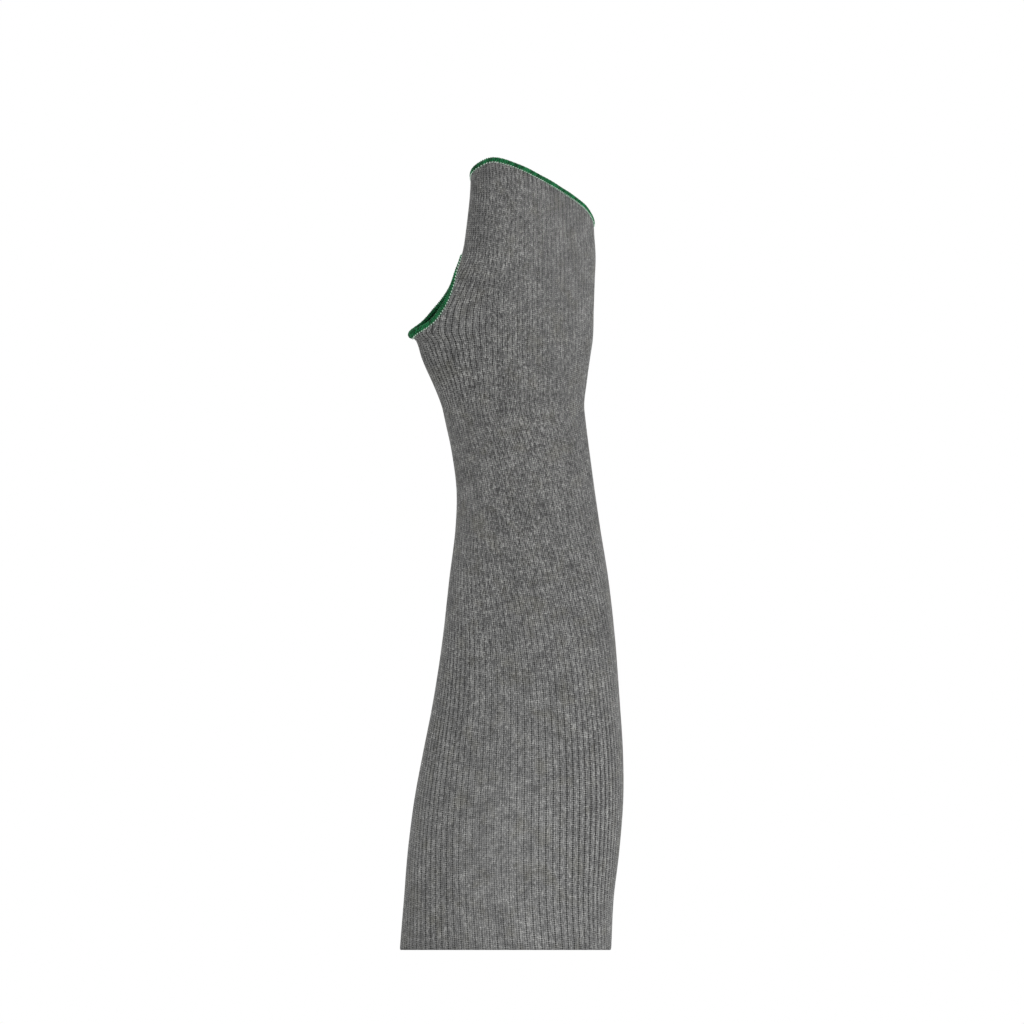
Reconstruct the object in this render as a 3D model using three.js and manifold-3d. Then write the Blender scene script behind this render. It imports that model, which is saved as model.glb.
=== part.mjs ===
// Cut resistant sleeve: one seamless rib-knit tube for a right arm, open at both ends,
// with an overlocked finger opening and an overlocked thumb hole.
//
// Millimetres, +Z up from the arm opening to the finger opening. The origin is the middle
// of the arm opening. -Y is the front, where the back of the hand shows, -X is the thumb
// side and +X the little finger side. A turn is an angle round the sleeve in degrees:
// 0 on the little finger side, 90 behind, 180 on the thumb side, 270 in front.
import * as THREE from 'three';
import { LoftGeometry } from 'three/addons/geometries/LoftGeometry.js';
import { mergeVertices } from 'three/addons/utils/BufferGeometryUtils.js';
import Module from 'manifold-3d';

// Driving sizes
const forearmLength = 245;      // arm opening to the wrist crease
const handLength = 111;         // wrist crease to the highest point of the finger edging
const clothThickness = 1.5;     // one ply of rib knit
const forearmWidth = 95;        // side to side at the arm opening
const forearmDepth = 84;        // front to back at the arm opening
const wristWidth = 62;
const wristDepth = 47;
const palmWidth = 60;           // side to side just above the thumb hole
const palmDepth = 75;
const palmLean = 46;            // degrees by which the palm's section leans out of square
const armBow = 10.5;            // sideways bow of the middle line
const thumbSwell = 18.5;        // how far the cloth stands out at the thumb hole
const thumbSwellTurn = 75;      // degrees to each side over which that swell fades out
const thumbHoleRise = 0.438 * handLength;  // wrist crease to the middle of the thumb hole
const thumbHoleHeight = 35;
const thumbHoleDepth = 27;      // front to back
const thumbHoleFullness = 0.35; // the hole is fuller toward its lower end
const thumbHoleLift = 3;        // the palm side of the hole's edge runs this much higher
const thumbHoleEase = 0.85;     // and takes this share of the front side's turn
const knuckleFall = 28.3;       // fall of the finger opening toward the little finger side
const edgingWidth = 2.5;        // overlocked roll, measured along the cloth
const edgingThickness = 2.4;    // the same roll through the cloth
const seatGap = 0.3;            // clear space between the cloth's cut edge and the roll

// Fineness of the faceted surfaces
const columnsAround = 40;
const armFacet = 12.5;
const handFacet = 4.6;
const edgingSides = 8;
const fingerEdgeSteps = 64;
const thumbEdgeSteps = 44;

const forearm = { width: forearmWidth, depth: forearmDepth };
const wrist = { width: wristWidth, depth: wristDepth };
const palm = { width: palmWidth, depth: palmDepth };

// Sections below the wrist crease. rise is a share of the forearm's length, width and depth
// are shares of the named place, sway of the arm's bow and lean of the palm's lean.
const armSections = [
  { of: forearm, rise: 0.000, width: 1.000, depth: 1.00, sway: 0.00, lean: 0.00 },
  { of: forearm, rise: 0.092, width: 0.992, depth: 1.00, sway: 0.14, lean: 0.00 },
  { of: forearm, rise: 0.183, width: 1.000, depth: 1.00, sway: 0.35, lean: 0.00 },
  { of: forearm, rise: 0.275, width: 0.988, depth: 0.99, sway: 0.57, lean: 0.00 },
  { of: forearm, rise: 0.366, width: 0.943, depth: 0.95, sway: 0.76, lean: 0.02 },
  { of: forearm, rise: 0.458, width: 0.881, depth: 0.88, sway: 0.90, lean: 0.05 },
  { of: forearm, rise: 0.568, width: 0.817, depth: 0.80, sway: 1.00, lean: 0.09 },
  { of: forearm, rise: 0.679, width: 0.753, depth: 0.71, sway: 1.00, lean: 0.14 },
  { of: wrist, rise: 0.770, width: 1.052, depth: 1.13, sway: 0.96, lean: 0.19 },
  { of: wrist, rise: 0.843, width: 1.001, depth: 1.03, sway: 0.86, lean: 0.22 },
  { of: wrist, rise: 0.915, width: 0.999, depth: 1.00, sway: 0.64, lean: 0.27 },
  { of: wrist, rise: 0.971, width: 1.018, depth: 1.02, sway: 0.42, lean: 0.33 },
  { of: wrist, rise: 1.000, width: 1.023, depth: 1.06, sway: 0.35, lean: 0.37 },
];

// Sections above the wrist crease, with rise a share of the hand's length
const handSections = [
  { of: wrist, rise: 0.079, width: 1.031, depth: 1.14, sway: 0.42, lean: 0.46 },
  { of: palm, rise: 0.179, width: 1.077, depth: 0.78, sway: 0.53, lean: 0.58 },
  { of: palm, rise: 0.272, width: 1.077, depth: 0.83, sway: 0.67, lean: 0.67 },
  { of: palm, rise: 0.381, width: 1.049, depth: 0.89, sway: 0.78, lean: 0.76 },
  { of: palm, rise: 0.503, width: 1.023, depth: 0.95, sway: 0.90, lean: 0.85 },
  { of: palm, rise: 0.596, width: 1.000, depth: 0.98, sway: 1.00, lean: 0.91 },
  { of: palm, rise: 0.705, width: 0.958, depth: 1.00, sway: 1.05, lean: 0.96 },
  { of: palm, rise: 0.865, width: 0.913, depth: 1.00, sway: 1.10, lean: 1.00 },
  { of: palm, rise: 1.000, width: 0.880, depth: 0.99, sway: 1.02, lean: 1.00 },
];

// The swell at the thumb hole. above is a height from the middle of the hole as a share of
// the hole's height, swell a share of the full swell.
const thumbSwells = [
  { above: -1.59, swell: 0.00 },
  { above: -1.40, swell: 0.04 },
  { above: -1.14, swell: 0.26 },
  { above: -0.82, swell: 0.575 },
  { above: -0.58, swell: 0.785 },
  { above: -0.48, swell: 1.00 },
  { above: -0.37, swell: 0.985 },
  { above: -0.20, swell: 0.895 },
  { above: -0.05, swell: 0.68 },
  { above: 0.14, swell: 0.39 },
  { above: 0.33, swell: 0.185 },
  { above: 0.50, swell: 0.03 },
  { above: 0.62, swell: 0.00 },
];

// The finger opening, once round. fall is a share of the knuckle fall.
const fingerRim = [
  { turn: 30, fall: 1.05 },
  { turn: 60, fall: 0.98 },
  { turn: 90, fall: 0.83 },
  { turn: 120, fall: 0.62 },
  { turn: 150, fall: 0.42 },
  { turn: 180, fall: 0.25 },
  { turn: 205, fall: 0.11 },
  { turn: 232, fall: 0.00 },
  { turn: 258, fall: 0.10 },
  { turn: 282, fall: 0.30 },
  { turn: 306, fall: 0.53 },
  { turn: 331, fall: 0.75 },
  { turn: 360, fall: 1.00 },
];

const radians = THREE.MathUtils.degToRad;

// A smooth curve through one column of a table, level beyond both ends
function smooth(rows, along, column, at) {
  const last = rows.length - 1;
  if (at <= rows[0][along]) return rows[0][column];
  if (at >= rows[last][along]) return rows[last][column];
  const i = rows.findIndex((row) => row[along] > at) - 1;
  const slope = (a, b) =>
    (rows[b][column] - rows[a][column]) / (rows[b][along] - rows[a][along]);
  const step = rows[i + 1][along] - rows[i][along];
  const share = (at - rows[i][along]) / step;
  const rest = 1 - share;
  const startSlope = slope(Math.max(i - 1, 0), i + 1) * step;
  const endSlope = slope(i, Math.min(i + 2, last)) * step;
  return rows[i][column] * (1 + 2 * share) * rest * rest
    + rows[i + 1][column] * (3 - 2 * share) * share * share
    + startSlope * share * rest * rest
    - endSlope * share * share * rest;
}

// The tables in millimetres
const sleeveLength = forearmLength + handLength;
const thumbHoleMiddle = forearmLength + thumbHoleRise;

const sized = (row, z) => ({
  z,
  halfWidth: row.width * row.of.width / 2,
  halfDepth: row.depth * row.of.depth / 2,
  centre: row.sway * armBow,
  lean: row.lean * palmLean,
});
const sectionRows = [
  ...armSections.map((row) => sized(row, row.rise * forearmLength)),
  ...handSections.map((row) => sized(row, forearmLength + row.rise * handLength)),
];
const swellRows = thumbSwells.map((row) => ({
  z: thumbHoleMiddle + row.above * thumbHoleHeight,
  swell: row.swell * thumbSwell,
}));
const rimRows = [-360, 0, 360].flatMap((whole) =>
  fingerRim.map((row) => ({ turn: row.turn + whole, fall: row.fall * knuckleFall })));

function sectionAt(z) {
  const read = (column) => smooth(sectionRows, 'z', column, z);
  return {
    halfWidth: read('halfWidth'),
    halfDepth: read('halfDepth'),
    centre: read('centre'),
    lean: read('lean'),
    swell: smooth(swellRows, 'z', 'swell', z),
  };
}

// A point of the outer surface: a leaning ellipse that swells at the thumb hole
function outerPoint(turn, z) {
  const at = sectionAt(z);
  const fromThumb = Math.abs(THREE.MathUtils.euclideanModulo(turn, 360) - 180);
  const faded = Math.min(fromThumb / thumbSwellTurn, 1);
  const swell = at.swell * Math.cos(faded * Math.PI / 2) ** 2;
  return new THREE.Vector3(
    at.centre + at.halfWidth * Math.cos(radians(turn)) - swell,
    at.halfDepth * Math.sin(radians(turn + at.lean)),
    z);
}

function outwardNormal(turn, z) {
  const turnStep = 0.5;
  const zStep = 0.5;
  const round = outerPoint(turn + turnStep, z).sub(outerPoint(turn - turnStep, z));
  const up = outerPoint(turn, z + zStep).sub(outerPoint(turn, z - zStep));
  return round.cross(up).normalize();
}

// A point at a depth under the outer surface, moved level so that rows stay level
function clothPoint(turn, z, depth) {
  const normal = outwardNormal(turn, z);
  const level = new THREE.Vector3(normal.x, normal.y, 0);
  return outerPoint(turn, z).addScaledVector(level, -depth / level.lengthSq());
}

// Each edge gives a turn and a height for a share of its one round
function fingerEdgeAt(share) {
  const turn = share * 360;
  const fall = smooth(rimRows, 'turn', 'fall', turn);
  return { turn, z: sleeveLength - edgingWidth / 2 - fall };
}

const holeSection = sectionAt(thumbHoleMiddle);
const holeReach = holeSection.halfDepth * Math.cos(radians(holeSection.lean));
const thumbHoleTurn = THREE.MathUtils.radToDeg(
  Math.asin(Math.min(thumbHoleDepth / 2 / holeReach, 1)));

function thumbEdgeAt(share) {
  const s = Math.sin(share * 2 * Math.PI);
  const c = Math.cos(share * 2 * Math.PI);
  const palmSide = s > 0;
  const ease = palmSide ? thumbHoleEase : 1;
  const lift = palmSide ? thumbHoleLift * s * s : 0;
  return {
    turn: 180 - thumbHoleTurn * ease * s * (1 - thumbHoleFullness * c),
    z: thumbHoleMiddle + thumbHoleHeight / 2 * c + lift,
  };
}

// The frame of an edge: its middle in the cloth, the direction out of the cloth, and the
// direction that leads from the cloth into the opening
function edgeFrame(edgeAt, share) {
  const shareStep = 1e-3;
  const middle = (at) => {
    const edge = edgeAt(at);
    return clothPoint(edge.turn, edge.z, clothThickness / 2);
  };
  const { turn, z } = edgeAt(share);
  const out = outwardNormal(turn, z);
  const along = middle(share + shareStep).sub(middle(share - shareStep)).normalize();
  return { middle: middle(share), out, inward: out.clone().cross(along).normalize() };
}

// A closed roll along an edge, larger by spare on every side
function rollGeometry(edgeAt, steps, spare) {
  const rings = [];
  for (let i = 0; i <= steps; i++) {
    const frame = edgeFrame(edgeAt, (i % steps) / steps);
    const ring = [];
    for (let j = 0; j < edgingSides; j++) {
      const angle = (j + 0.5) / edgingSides * 2 * Math.PI;
      ring.push(frame.middle.clone()
        .addScaledVector(frame.out, Math.cos(angle) * (edgingThickness / 2 + spare))
        .addScaledVector(frame.inward, -Math.sin(angle) * (edgingWidth / 2 + spare)));
    }
    rings.push(ring);
  }
  return new LoftGeometry(rings);
}

// Height of the cloth's cut edge, seated under the roll of the finger opening
function clothTop(turn) {
  const turnStep = 0.5;
  const height = (at) => fingerEdgeAt(at / 360).z;
  const before = outerPoint(turn - turnStep, height(turn - turnStep));
  const after = outerPoint(turn + turnStep, height(turn + turnStep));
  const across = Math.hypot(after.x - before.x, after.y - before.y);
  const steepness = Math.hypot(1, (after.z - before.z) / across);
  return height(turn) - (edgingWidth / 2 + seatGap) * steepness;
}

// The wall of the tube: up the outside, over the cut edge and down the inside. The slant of
// the finger opening fades out down the hand.
function tubeGeometry() {
  const slantFade = 6;
  const armRows = Math.ceil(forearmLength / armFacet);
  const handRows = Math.ceil(handLength / handFacet);
  const levels = [];
  for (let i = 0; i < armRows; i++) levels.push(forearmLength * i / armRows);
  for (let i = 0; i <= handRows; i++) levels.push(forearmLength + handLength * i / handRows);
  const ring = (level, depth) => {
    const points = [];
    for (let j = 0; j < columnsAround; j++) {
      const turn = 360 * j / columnsAround;
      const slant = (sleeveLength - clothTop(turn)) * (level / sleeveLength) ** slantFade;
      points.push(clothPoint(turn, level - slant, depth));
    }
    return points;
  };
  const outside = levels.map((level) => ring(level, 0));
  const inside = levels.map((level) => ring(level, clothThickness)).reverse();
  return new LoftGeometry([...outside, ...inside, outside[0]]);
}

// The plug that opens the thumb hole: the hole's edge carried in and out, flaring
function thumbPlugGeometry() {
  const outward = outwardNormal(180, thumbHoleMiddle);
  const pastCloth = clothThickness + edgingThickness;
  const rings = [-pastCloth, thumbSwell + pastCloth].map((reach) => {
    const ring = [];
    for (let i = 0; i < thumbEdgeSteps; i++) {
      const frame = edgeFrame(thumbEdgeAt, i / thumbEdgeSteps);
      const flare = frame.out.add(outward).normalize();
      ring.push(frame.middle.addScaledVector(flare, reach));
    }
    return ring;
  });
  return new LoftGeometry(rings, { capStart: true, capEnd: true });
}

const wasm = await Module();
wasm.setup();

function solidFrom(geometry) {
  const bare = new THREE.BufferGeometry();
  bare.setAttribute('position', geometry.attributes.position);
  bare.setIndex(geometry.index);
  const mergeTolerance = 1e-4;
  const merged = mergeVertices(bare, mergeTolerance);
  return new wasm.Manifold(new wasm.Mesh({
    numProp: 3,
    vertProperties: merged.attributes.position.array,
    triVerts: new Uint32Array(merged.index.array),
  }));
}

function geometryFrom(solid) {
  const mesh = solid.getMesh();
  const geometry = new THREE.BufferGeometry();
  geometry.setAttribute('position', new THREE.BufferAttribute(mesh.vertProperties, 3));
  geometry.setIndex(new THREE.BufferAttribute(mesh.triVerts, 1));
  geometry.computeVertexNormals();
  return geometry;
}

const knit = new THREE.MeshStandardMaterial({ color: '#6d6e6b', roughness: 0.95, metalness: 0 });
const thread = new THREE.MeshStandardMaterial({ color: '#345943', roughness: 0.8, metalness: 0 });

// The knitted body, with the thumb hole cut clear of its edging
function sleeveBody() {
  const tube = solidFrom(tubeGeometry());
  const plug = solidFrom(thumbPlugGeometry());
  const edgingRoom = solidFrom(rollGeometry(thumbEdgeAt, thumbEdgeSteps, seatGap));
  const mesh = new THREE.Mesh(geometryFrom(tube.subtract(plug).subtract(edgingRoom)), knit);
  mesh.name = 'sleeve_body';
  return mesh;
}

function edging(name, edgeAt, steps) {
  const mesh = new THREE.Mesh(rollGeometry(edgeAt, steps, 0), thread);
  mesh.name = name;
  return mesh;
}

const sleeve = new THREE.Group();
sleeve.add(sleeveBody());
sleeve.add(edging('finger_edge', fingerEdgeAt, fingerEdgeSteps));
sleeve.add(edging('thumb_edge', thumbEdgeAt, thumbEdgeSteps));

export default sleeve;
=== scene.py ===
# %% [markdown]
# # A cut resistant sleeve
#
# The real sleeve is one tube of grey heather rib knit that a knitting machine makes without
# a seam. Its finger opening and its thumb hole are bound with green overlock thread, and the
# rest is bare knit.
#
# The dressing follows that order: the shape of the worn tube, the knitted wall, the two
# overlocked edges, then yarn and thread materials, and last the light and the camera.

# %% Load the fixed frame
import math

import bmesh
import bpy
import numpy as np
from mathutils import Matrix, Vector


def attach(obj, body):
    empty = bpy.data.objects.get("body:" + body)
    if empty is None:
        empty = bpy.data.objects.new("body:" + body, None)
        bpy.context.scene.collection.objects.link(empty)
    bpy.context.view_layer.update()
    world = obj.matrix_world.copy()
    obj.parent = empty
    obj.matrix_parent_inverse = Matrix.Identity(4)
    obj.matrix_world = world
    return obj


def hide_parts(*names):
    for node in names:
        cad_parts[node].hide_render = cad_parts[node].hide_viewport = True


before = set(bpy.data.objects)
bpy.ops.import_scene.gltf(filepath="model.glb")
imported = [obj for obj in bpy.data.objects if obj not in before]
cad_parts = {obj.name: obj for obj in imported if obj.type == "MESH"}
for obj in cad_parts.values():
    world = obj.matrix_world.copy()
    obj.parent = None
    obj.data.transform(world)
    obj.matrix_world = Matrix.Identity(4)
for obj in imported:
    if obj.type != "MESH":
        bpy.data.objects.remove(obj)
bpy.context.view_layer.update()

# %% [markdown]
# ## The shape of the worn tube
#
# A sleeve has no shape of its own and takes the one that it is worn in. It could be laid over
# a form as cloth, but that would blur its ribs, so the tube is described straight away. It is
# a stack of ellipses, each with a width, a depth, a place of its middle and a lean. The lean
# grows past the wrist, because the tube is twisted there. The same tables made the solid
# model, so the cloth lands on it. Sizes are in millimetres until a vertex is placed.

# %% Driving sizes
MM = 0.001

FOREARM_LENGTH = 245.0
HAND_LENGTH = 111.0
SLEEVE_LENGTH = FOREARM_LENGTH + HAND_LENGTH
FOREARM = (95.0, 84.0)  # width and depth at the arm opening
WRIST = (62.0, 47.0)
PALM = (60.0, 75.0)
PALM_LEAN = 46.0  # degrees, at the finger opening
ARM_BOW = 10.5  # how far the middle of the tube strays to the right
THUMB_SWELL = 18.5  # how far the cloth swells out round the thumb hole
THUMB_SWELL_TURN = 75.0  # degrees that the swell reaches to either side
THUMB_HOLE_MIDDLE = FOREARM_LENGTH + 0.438 * HAND_LENGTH
THUMB_HOLE_HEIGHT = 35.0
THUMB_HOLE_DEPTH = 27.0
THUMB_HOLE_FULLNESS = 0.35  # how much wider the oval is low down than high up
THUMB_HOLE_LIFT = 3.0  # how much higher its rear side lies
THUMB_HOLE_EASE = 0.85  # and how much of the front's reach that side has
KNUCKLE_FALL = 28.3  # how far the finger opening slants down
EDGING_WIDTH = 2.5
EDGING_THICKNESS = 2.4
SOLID_WALL = 1.5
print("the sleeve is", SLEEVE_LENGTH, "mm long and", FOREARM[0], "mm wide where it starts")

# %% Sections up the tube
# Each row is rise, width, depth, sway and lean. The rise is a share of the length up to the
# wrist or past it, and the others are shares of the sizes above.
arm_sections = {
    "forearm": [
        (0.000, 1.000, 1.00, 0.00, 0.00),
        (0.092, 0.992, 1.00, 0.14, 0.00),
        (0.183, 1.000, 1.00, 0.35, 0.00),
        (0.275, 0.988, 0.99, 0.57, 0.00),
        (0.366, 0.943, 0.95, 0.76, 0.02),
        (0.458, 0.881, 0.88, 0.90, 0.05),
        (0.568, 0.817, 0.80, 1.00, 0.09),
        (0.679, 0.753, 0.71, 1.00, 0.14),
    ],
    "wrist": [
        (0.770, 1.052, 1.13, 0.96, 0.19),
        (0.843, 1.001, 1.03, 0.86, 0.22),
        (0.915, 0.999, 1.00, 0.64, 0.27),
        (0.971, 1.018, 1.02, 0.42, 0.33),
        (1.000, 1.023, 1.06, 0.35, 0.37),
    ],
}
hand_sections = {
    "wrist": [(0.079, 1.031, 1.14, 0.42, 0.46)],
    "palm": [
        (0.179, 1.077, 0.78, 0.53, 0.58),
        (0.272, 1.077, 0.83, 0.67, 0.67),
        (0.381, 1.049, 0.89, 0.78, 0.76),
        (0.503, 1.023, 0.95, 0.90, 0.85),
        (0.596, 1.000, 0.98, 1.00, 0.91),
        (0.705, 0.958, 1.00, 1.05, 0.96),
        (0.865, 0.913, 1.00, 1.10, 1.00),
        (1.000, 0.880, 0.99, 1.02, 1.00),
    ],
}
place_sizes = {"forearm": FOREARM, "wrist": WRIST, "palm": PALM}


def sized_rows(sections, start, length):
    """Rows of height, half width, half depth, middle and lean, in millimetres and degrees."""
    rows = []
    for place, shares in sections.items():
        width, depth = place_sizes[place]
        for rise, w, d, sway, lean in shares:
            rows.append((start + rise * length, w * width / 2, d * depth / 2,
                         sway * ARM_BOW, lean * PALM_LEAN))
    return rows


section_rows = np.array(
    sized_rows(arm_sections, 0.0, FOREARM_LENGTH)
    + sized_rows(hand_sections, FOREARM_LENGTH, HAND_LENGTH)
)
print("sections:", len(section_rows), "from", section_rows[0, 0], "to", section_rows[-1, 0])

# %% The swell at the thumb hole and the slant of the finger opening
# Rows of height from the hole's middle and of swell, as shares of its height and full swell.
thumb_swells = np.array([
    (-1.59, 0.00), (-1.40, 0.04), (-1.14, 0.26), (-0.82, 0.575), (-0.58, 0.785),
    (-0.48, 1.00), (-0.37, 0.985), (-0.20, 0.895), (-0.05, 0.68), (0.14, 0.39),
    (0.33, 0.185), (0.50, 0.03), (0.62, 0.00),
]) * (THUMB_HOLE_HEIGHT, THUMB_SWELL) + (THUMB_HOLE_MIDDLE, 0.0)

# Rows of turn in degrees and of fall, as a share of the full slant.
finger_rim = np.array([
    (30, 1.05), (60, 0.98), (90, 0.83), (120, 0.62), (150, 0.42), (180, 0.25),
    (205, 0.11), (232, 0.00), (258, 0.10), (282, 0.30), (306, 0.53), (331, 0.75),
    (360, 1.00),
]) * (1.0, KNUCKLE_FALL)
finger_rim = np.vstack([finger_rim + (whole, 0) for whole in (-360, 0, 360)])
print("the swell reaches from", thumb_swells[0, 0].round(), "to", thumb_swells[-1, 0].round())

# %% [markdown]
# A smooth curve through the rows of a table turns a few sections into a surface. Blender's
# own curves could carry it, but a formula can be asked at any height and for many points at
# once, and the knit needs tens of thousands of them.

# %% Curves and surface
def smooth(table, column, at):
    """A smooth curve through one column of a table, level beyond its ends."""
    at = np.asarray(at, float)
    x, y = table[:, 0], table[:, column]
    i = np.clip(np.searchsorted(x, at, side="right") - 1, 0, len(x) - 2)
    before, after = np.maximum(i - 1, 0), np.minimum(i + 2, len(x) - 1)
    step = x[i + 1] - x[i]
    share = np.clip((at - x[i]) / step, 0, 1)
    rest = 1 - share
    start_slope = (y[i + 1] - y[before]) / (x[i + 1] - x[before]) * step
    end_slope = (y[after] - y[i]) / (x[after] - x[i]) * step
    return (
        y[i] * (1 + 2 * share) * rest * rest
        + y[i + 1] * (3 - 2 * share) * share * share
        + start_slope * share * rest * rest
        - end_slope * share * share * rest
    )


def outer_point(turn, z):
    """The outer surface, at turns of 0 on the right, 90 behind and 180 at the thumb hole."""
    half_width, half_depth, middle, lean = (smooth(section_rows, k, z) for k in (1, 2, 3, 4))
    faded = np.minimum(np.abs(np.mod(turn, 360) - 180) / THUMB_SWELL_TURN, 1)
    swell = smooth(thumb_swells, 1, z) * np.cos(faded * np.pi / 2) ** 2
    x = middle + half_width * np.cos(np.radians(turn)) - swell
    y = half_depth * np.sin(np.radians(turn + lean))
    return np.stack([x, y, z + 0 * x], axis=-1)


def unit(vectors):
    """The same directions with a length of 1."""
    return vectors / np.linalg.norm(vectors, axis=-1, keepdims=True)


def outward_normal(turn, z):
    """The way out of the surface, from points half a degree and half a millimetre away."""
    round_it = outer_point(turn + 0.5, z) - outer_point(turn - 0.5, z)
    up = outer_point(turn, z + 0.5) - outer_point(turn, z - 0.5)
    return unit(np.cross(round_it, up))


def cloth_point(turn, z, depth):
    """A point at a depth under the outer surface, moved level so that rows stay level."""
    level = outward_normal(turn, z) * (1, 1, 0)
    reach = -np.asarray(depth) / (level ** 2).sum(axis=-1)
    return outer_point(turn, z) + level * reach[..., None]


print("widest point of the forearm in mm:", outer_point(np.array([0.0]), np.array([70.0])))

# %% [markdown]
# ### The two bound edges
#
# The finger opening slants down to the right, and the thumb hole is an oval in the left side.
# Each is a closed line on the surface, given by the share of the way round it. A curve could
# be drawn and shrunk onto the cloth instead, but a formula puts the line exactly on it and
# says which way the cloth faces there. A machine sews at an even pace, so stitches are spaced
# by the length along that line.

# %% The two edges that are bound with thread
def finger_edge_at(share):
    """Turn and height of the finger opening, at shares of the way round it."""
    turn = np.asarray(share) * 360.0
    return turn, SLEEVE_LENGTH - EDGING_WIDTH / 2 - smooth(finger_rim, 1, turn)


hole_half_depth = smooth(section_rows, 2, THUMB_HOLE_MIDDLE)
hole_lean = smooth(section_rows, 4, THUMB_HOLE_MIDDLE)
THUMB_HOLE_TURN = math.degrees(
    math.asin(THUMB_HOLE_DEPTH / 2 / (hole_half_depth * math.cos(math.radians(hole_lean)))))


def thumb_edge_at(share):
    """Turn and height of the thumb hole's oval, from its highest point round by the rear."""
    s, c = (f(np.asarray(share) * 2 * np.pi) for f in (np.sin, np.cos))
    palm_side = s > 0
    ease = np.where(palm_side, THUMB_HOLE_EASE, 1.0)
    lift = np.where(palm_side, THUMB_HOLE_LIFT * s * s, 0.0)
    turn = 180 - THUMB_HOLE_TURN * ease * s * (1 - THUMB_HOLE_FULLNESS * c)
    return turn, THUMB_HOLE_MIDDLE + THUMB_HOLE_HEIGHT / 2 * c + lift


def edge_frame(edge_at, share):
    """The middle of the wall at an edge, the way out of the cloth and the way into the hole."""
    def middle(at):
        return cloth_point(*edge_at(at), SOLID_WALL / 2)

    out = outward_normal(*edge_at(share))
    along = unit(middle(share + 1e-3) - middle(share - 1e-3))
    return middle(share), out, unit(np.cross(out, along))


WAY_STEPS = 2000


def way_round(edge_at):
    """Shares of an edge, closely spaced, and how far round it each of them lies in mm."""
    share = np.linspace(0, 1, WAY_STEPS + 1)
    ring = cloth_point(*edge_at(share), SOLID_WALL / 2)
    steps = np.linalg.norm(np.diff(ring, axis=0), axis=1)
    return share, np.concatenate([[0.0], np.cumsum(steps)])


def edge_length(edge_at):
    """How many millimetres of seam an edge has."""
    return float(way_round(edge_at)[1][-1])


def evenly_round(edge_at, steps):
    """Shares of an edge that lie equally far apart along it, so that stitches are even."""
    share, way = way_round(edge_at)
    return np.interp(np.arange(steps) / steps * way[-1], way, share)


for label, edge_at in (("finger opening", finger_edge_at), ("thumb hole", thumb_edge_at)):
    print(label, "is", round(edge_length(edge_at)), "mm round")

# %% [markdown]
# ## Bending a grid into a tube
#
# Every soft piece here is a flat grid bent round: the knitted wall, the roll along an edge
# and the thread wound on it. `bmesh.ops.create_grid` gives the faces, a formula gives each
# vertex its place, and `remove_doubles` welds the sides that meet, so no seam is left open.
# Extruding ring after ring would end in the same mesh, but a grid keeps its rows and
# columns, and those become the wales and courses of the knit.

# %% A grid and its place in rows and columns
WELD = 1e-6  # vertices closer than this many metres are made one


def flat_grid(name, columns, rows):
    """A grid mesh, with the column and the row of each of its vertices."""
    bm = bmesh.new()
    bmesh.ops.create_grid(bm, x_segments=columns, y_segments=rows, size=0.5)
    mesh = bpy.data.meshes.new(name)
    bm.to_mesh(mesh)
    bm.free()
    flat = np.zeros(len(mesh.vertices) * 3)
    mesh.vertices.foreach_get("co", flat)
    flat = flat.reshape(-1, 3)
    column = np.rint((flat[:, 0] + 0.5) * columns).astype(int)
    row = np.rint((flat[:, 1] + 0.5) * rows).astype(int)
    return mesh, column, row


def place_vertices(mesh, points_mm):
    """Moves all vertices of a mesh to points in millimetres."""
    mesh.vertices.foreach_set("co", (np.asarray(points_mm) * MM).ravel())
    mesh.update()


def write_uv(mesh, name, across, along):
    """A UV map from one pair of numbers a vertex, written before the seam is welded."""
    layer = mesh.uv_layers.new(name=name)
    corner = np.zeros(len(mesh.loops), int)
    mesh.loops.foreach_get("vertex_index", corner)
    layer.data.foreach_set("uv", np.stack([across[corner], along[corner]], axis=-1).ravel())


def finished_piece(mesh):
    """Welds a bent grid, turns its faces outwards and puts it in the scene."""
    bm = bmesh.new()
    bm.from_mesh(mesh)
    bmesh.ops.remove_doubles(bm, verts=bm.verts, dist=WELD)
    bmesh.ops.recalc_face_normals(bm, faces=bm.faces)
    for face in bm.faces:
        face.smooth = True
    bm.to_mesh(mesh)
    open_edges = sum(len(e.link_faces) != 2 for e in bm.edges)
    triangles = sum(len(f.verts) - 2 for f in bm.faces)
    bm.free()
    piece = bpy.data.objects.new(mesh.name, mesh)
    bpy.context.scene.collection.objects.link(piece)
    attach(piece, "root")
    print(mesh.name, "has", triangles, "triangles and", open_edges, "open edges")
    return piece


# %% [markdown]
# ## The knitted wall
#
# Rib knit is made of lengthwise ribs with a sunk column of stitches between them. About 88
# ribs go round this tube, and their number doesn't change along it, so they spread out on
# the forearm and draw together at the wrist. A bump map alone would leave the rim and the
# outline of the tube smooth, so the ribs are real relief. The stitches, about a millimetre
# each, are left to the material. One closed grid goes up the outside, over the finger
# opening, down the inside and back under the arm opening.

# %% Rows and columns of the wall
RIBS = 88
STEPS_IN_RIB = (0.0, 0.17, 0.5, 0.83)  # a narrow groove at 0, a broad crown at 0.5
STEP_DEPTHS = (1.0, 0.22, 0.0, 0.22)  # shares of the groove's depth at those steps
GROOVE_DEPTH = 0.4
KNIT_WALL = 1.35
COURSE_HEIGHT = 0.98  # a row of stitches, about 0.9 on the real knit, drawn a bit coarser

RIM_HEIGHT = 1.0  # the cloth turns over within this height at both ends
HOLE_LOW = THUMB_HOLE_MIDDLE - 24.0  # rows are close together from here
HOLE_HIGH = THUMB_HOLE_MIDDLE + 25.0  # to here, a little past the thumb hole


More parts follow.
